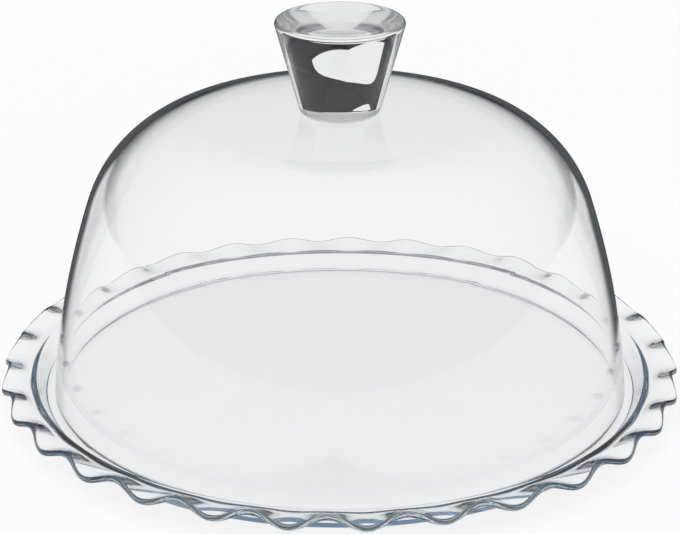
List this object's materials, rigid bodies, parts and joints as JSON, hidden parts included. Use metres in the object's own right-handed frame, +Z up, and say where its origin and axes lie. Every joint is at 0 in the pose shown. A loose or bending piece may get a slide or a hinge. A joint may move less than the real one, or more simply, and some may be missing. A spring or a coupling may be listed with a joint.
{
  "type": "cake dome",
  "caption": "Clear glass cake dome with a solid tapered knob, standing in the shallow well of a clear glass serving plate with a waved rim; the dome lifts off to reach the cake.",
  "frame": {"origin": "centre of the plate's base ring, on the table", "axes": "+Z up along the axis of the plate, dome and knob; -Y towards the viewer of the picture, with one ridge of the waved rim on -Y; +X to the viewer's right"},
  "size_m": [0.319, 0.3174, 0.1804],
  "materials": {
    "plate_glass": "clear pressed soda-lime glass, fire-polished, blue-grey in the thick rim",
    "dome_glass": "clear blown soda-lime glass, polished",
    "clear_bond": "clear light-cured glass adhesive",
    "knob_glass": "clear solid soda-lime glass, fire-polished"
  },
  "bodies": {
    "plate": {"serving_plate": "plate_glass"},
    "dome": {"dome_shell": "dome_glass", "knob_bond": "clear_bond", "knob": "knob_glass"}
  },
  "joints": [
    {"name": "dome_lift", "type": "slide", "parent": "plate", "child": "dome", "axis": [0, 0, 1], "range_m": [0, 0.16]}
  ]
}
